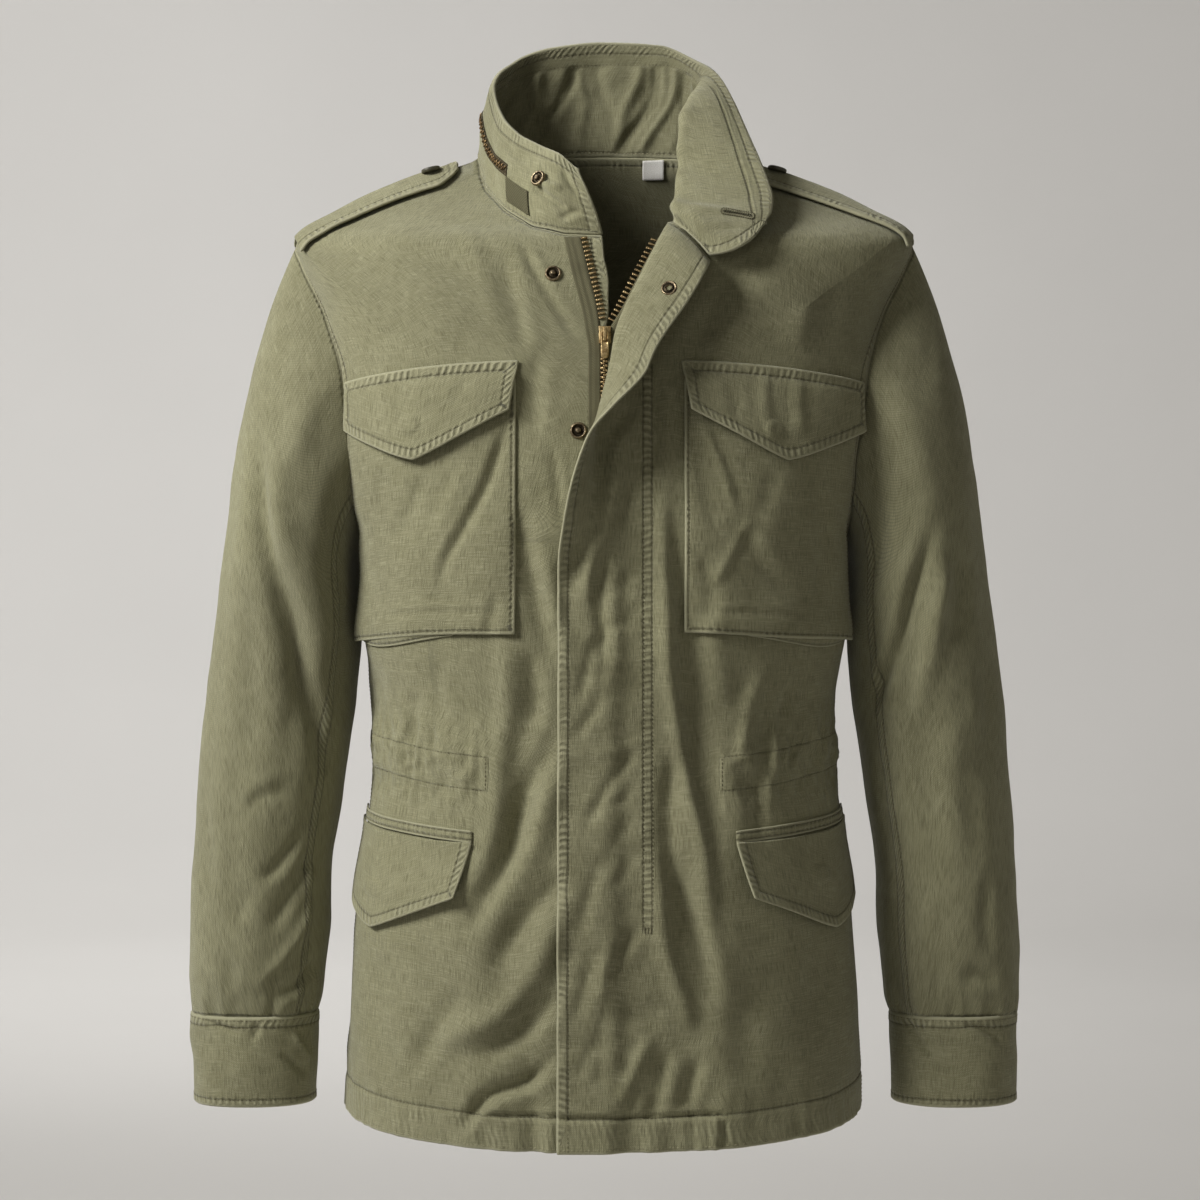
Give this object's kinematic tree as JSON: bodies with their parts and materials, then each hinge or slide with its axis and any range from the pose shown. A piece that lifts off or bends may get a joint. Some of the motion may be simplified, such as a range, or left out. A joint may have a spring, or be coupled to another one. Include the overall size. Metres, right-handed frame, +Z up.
{
  "type": "field jacket",
  "caption": "Worn-shape cotton field jacket with stand collar, flapped chest and hip pockets, shoulder loops, gathered cuffs and a zip under a storm fly that is turned out at the neck",
  "frame": {"origin": "on the middle plane at shoulder-neck height, where the wearer's shoulders carry the jacket", "axes": "+Z up, -Y the front, +X the wearer's left"},
  "size_m": [0.6436, 0.2871, 0.853],
  "materials": {
    "back": "washed cotton sateen",
    "chest_flap_left": "washed cotton sateen",
    "chest_flap_right": "washed cotton sateen",
    "chest_pocket_left": "washed cotton sateen",
    "chest_pocket_right": "washed cotton sateen",
    "collar": "washed cotton sateen",
    "collar_hood_zip": "antique brass, satin",
    "collar_patch": "woven tape",
    "cuff_left": "washed cotton sateen",
    "cuff_right": "washed cotton sateen",
    "epaulette_button_left": "matte",
    "epaulette_button_right": "matte",
    "epaulette_left": "washed cotton sateen",
    "epaulette_right": "washed cotton sateen",
    "front_left": "washed cotton sateen",
    "front_right": "washed cotton sateen",
    "hip_flap_left": "washed cotton sateen",
    "hip_flap_right": "washed cotton sateen",
    "hip_welt_left": "washed cotton sateen",
    "hip_welt_right": "washed cotton sateen",
    "neck_label": "plain woven tape, blank",
    "sleeve_left": "washed cotton sateen",
    "sleeve_right": "washed cotton sateen",
    "snap_collar": "antique brass, satin",
    "snap_socket_upper": "antique brass, satin",
    "snap_stud_lower": "antique brass, satin",
    "snap_stud_upper": "antique brass, satin",
    "zip_chain_left": "antique brass, satin",
    "zip_chain_lower": "antique brass, satin",
    "zip_chain_right": "antique brass, satin",
    "zip_pull_tab": "antique brass, satin",
    "zip_slider": "antique brass, satin",
    "zip_tape_left": "woven tape",
    "zip_tape_right": "woven tape"
  },
  "bodies": {
    "jacket": {"back": "back", "chest_flap_left": "chest_flap_left", "chest_flap_right": "chest_flap_right", "chest_pocket_left": "chest_pocket_left", "chest_pocket_right": "chest_pocket_right", "collar": "collar", "collar_hood_zip": "collar_hood_zip", "collar_patch": "collar_patch", "cuff_left": "cuff_left", "cuff_right": "cuff_right", "epaulette_button_left": "epaulette_button_left", "epaulette_button_right": "epaulette_button_right", "epaulette_left": "epaulette_left", "epaulette_right": "epaulette_right", "front_left": "front_left", "front_right": "front_right", "hip_flap_left": "hip_flap_left", "hip_flap_right": "hip_flap_right", "hip_welt_left": "hip_welt_left", "hip_welt_right": "hip_welt_right", "neck_label": "neck_label", "sleeve_left": "sleeve_left", "sleeve_right": "sleeve_right", "snap_collar": "snap_collar", "snap_socket_upper": "snap_socket_upper", "snap_stud_lower": "snap_stud_lower", "snap_stud_upper": "snap_stud_upper", "zip_chain_left": "zip_chain_left", "zip_chain_lower": "zip_chain_lower", "zip_chain_right": "zip_chain_right", "zip_slider": "zip_slider", "zip_tape_left": "zip_tape_left", "zip_tape_right": "zip_tape_right"},
    "pull_tab": {"zip_pull_tab": "zip_pull_tab"}
  },
  "joints": [
    {"name": "pull_tab_hinge", "type": "hinge", "parent": "jacket", "child": "pull_tab", "pos_m": [0.0005, -0.118, -0.1385], "axis": [1, 0, 0], "range_deg": [-165, 0]}
  ]
}
